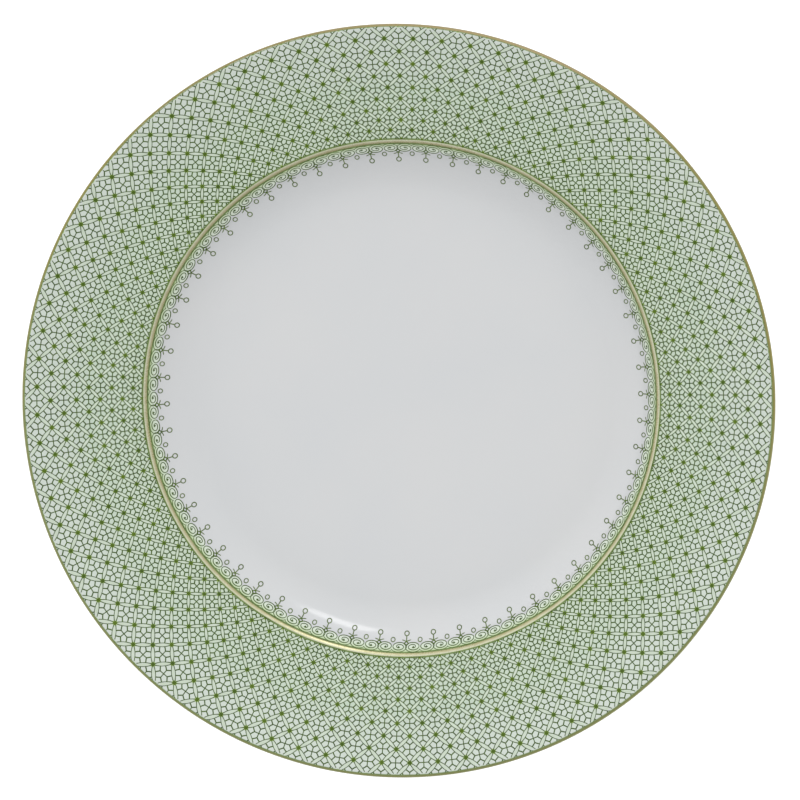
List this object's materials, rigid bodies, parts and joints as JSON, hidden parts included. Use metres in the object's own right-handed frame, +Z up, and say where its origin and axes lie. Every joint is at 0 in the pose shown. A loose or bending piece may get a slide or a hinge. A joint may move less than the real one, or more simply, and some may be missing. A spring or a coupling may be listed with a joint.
{
  "type": "dinner plate",
  "caption": "Round rimmed dinner plate: glazed porcelain body with a shallow well, printed lace rim, scroll border on the well wall and gilded verge and edge.",
  "frame": {"origin": "centre of the foot ring, on the surface that the plate stands on", "axes": "+Z up along the plate's axis of revolution, out of the well; X and Y lie in the table plane"},
  "size_m": [0.267, 0.267, 0.0281],
  "materials": {
    "bisque": "fired porcelain, bare and finely ground on the foot's flat",
    "glaze": "clear high-gloss glaze over white porcelain",
    "green_enamel": "glossy fired apple-green enamel print",
    "gilding": "burnished gold, thin and softly bright"
  },
  "bodies": {
    "root": {"porcelain_body": "bisque", "glaze_coat": "glaze", "foot_recess_glaze": "glaze", "edge_gold_band": "gilding", "rim_lace_print": "green_enamel", "verge_green_line_outer": "green_enamel", "verge_gold_line": "gilding", "verge_green_line_inner": "green_enamel", "scroll_border_print": "green_enamel", "picot_fringe_print": "green_enamel"}
  },
  "joints": []
}
